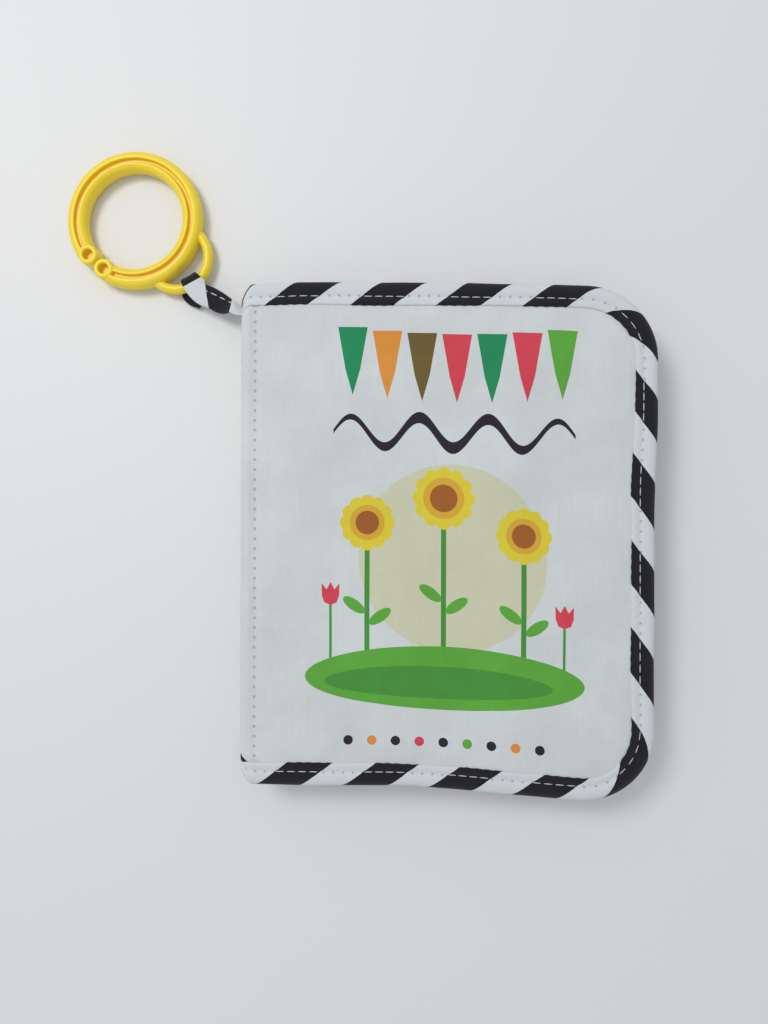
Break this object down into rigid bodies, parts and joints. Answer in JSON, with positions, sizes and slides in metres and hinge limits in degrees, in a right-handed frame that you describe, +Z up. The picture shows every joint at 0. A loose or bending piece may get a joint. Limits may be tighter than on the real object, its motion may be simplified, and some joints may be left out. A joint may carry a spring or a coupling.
{
  "type": "soft book",
  "caption": "Soft cloth photo book with padded covers that open on sewn hinges, striped edge binding and a plastic link ring on a cloth tie.",
  "frame": {"origin": "centre of the back cover's underside, on the surface that the closed book lies on", "axes": "+X from the spine to the fore edge, +Y from the tail to the head of the book, +Z up through the closed book from the back cover to the front cover"},
  "size_m": [0.2154, 0.2325, 0.0202],
  "materials": {
    "cover_cloth": "plain woven polyester cotton, white, lightly padded",
    "binding_white": "white stripe of the bias binding, plain woven cotton",
    "binding_black": "black stripe of the bias binding, plain woven cotton",
    "page_cloth": "white cloth leaves, lightly padded",
    "pocket_film": "clear soft vinyl pocket film",
    "stitch_thread": "spun polyester sewing thread, pale grey",
    "ring_plastic": "bright yellow moulded plastic, satin gloss",
    "ink_emerald": "emerald green print on the cover cloth",
    "ink_orange": "orange print on the cover cloth",
    "ink_olive": "olive brown print on the cover cloth",
    "ink_red": "pink red print on the cover cloth",
    "ink_dark": "near black print on the cover cloth",
    "ink_cream": "cream print on the cover cloth",
    "ink_meadow": "leaf green print on the cover cloth",
    "ink_yellow": "yellow print on the cover cloth",
    "ink_brown": "brown print on the cover cloth"
  },
  "bodies": {
    "block": {"spine": "cover_cloth", "spine_head_binding": "binding_white", "spine_tail_binding": "binding_white", "pages": "page_cloth", "first_page_pocket": "pocket_film", "last_page_pocket": "pocket_film", "tie_tape": "binding_white", "tie_stripes": "binding_black"},
    "front": {"front_cover": "cover_cloth", "front_binding": "binding_white", "front_binding_stripes": "binding_black", "print_emerald": "ink_emerald", "print_orange": "ink_orange", "print_olive": "ink_olive", "print_red": "ink_red", "print_dark": "ink_dark", "print_cream": "ink_cream", "print_meadow": "ink_meadow", "print_yellow": "ink_yellow", "print_brown": "ink_brown"},
    "back": {"back_cover": "cover_cloth", "back_binding": "binding_white", "back_binding_stripes": "binding_black"},
    "ring": {"link_ring": "ring_plastic"}
  },
  "joints": [
    {"name": "front_cover_hinge", "type": "hinge", "parent": "block", "child": "front", "pos_m": [-0.067, 0, 0.02015], "axis": [0, -1, 0], "range_deg": [0, 180]},
    {"name": "back_cover_hinge", "type": "hinge", "parent": "block", "child": "back", "pos_m": [-0.067, 0, -0.00015], "axis": [0, 1, 0], "range_deg": [0, 180]},
    {"name": "ring_swivel", "type": "hinge", "parent": "block", "child": "ring", "pos_m": [-0.1007, 0.1036, 0.0036], "axis": [0, 0, 1], "range_deg": [-50, 35]}
  ]
}
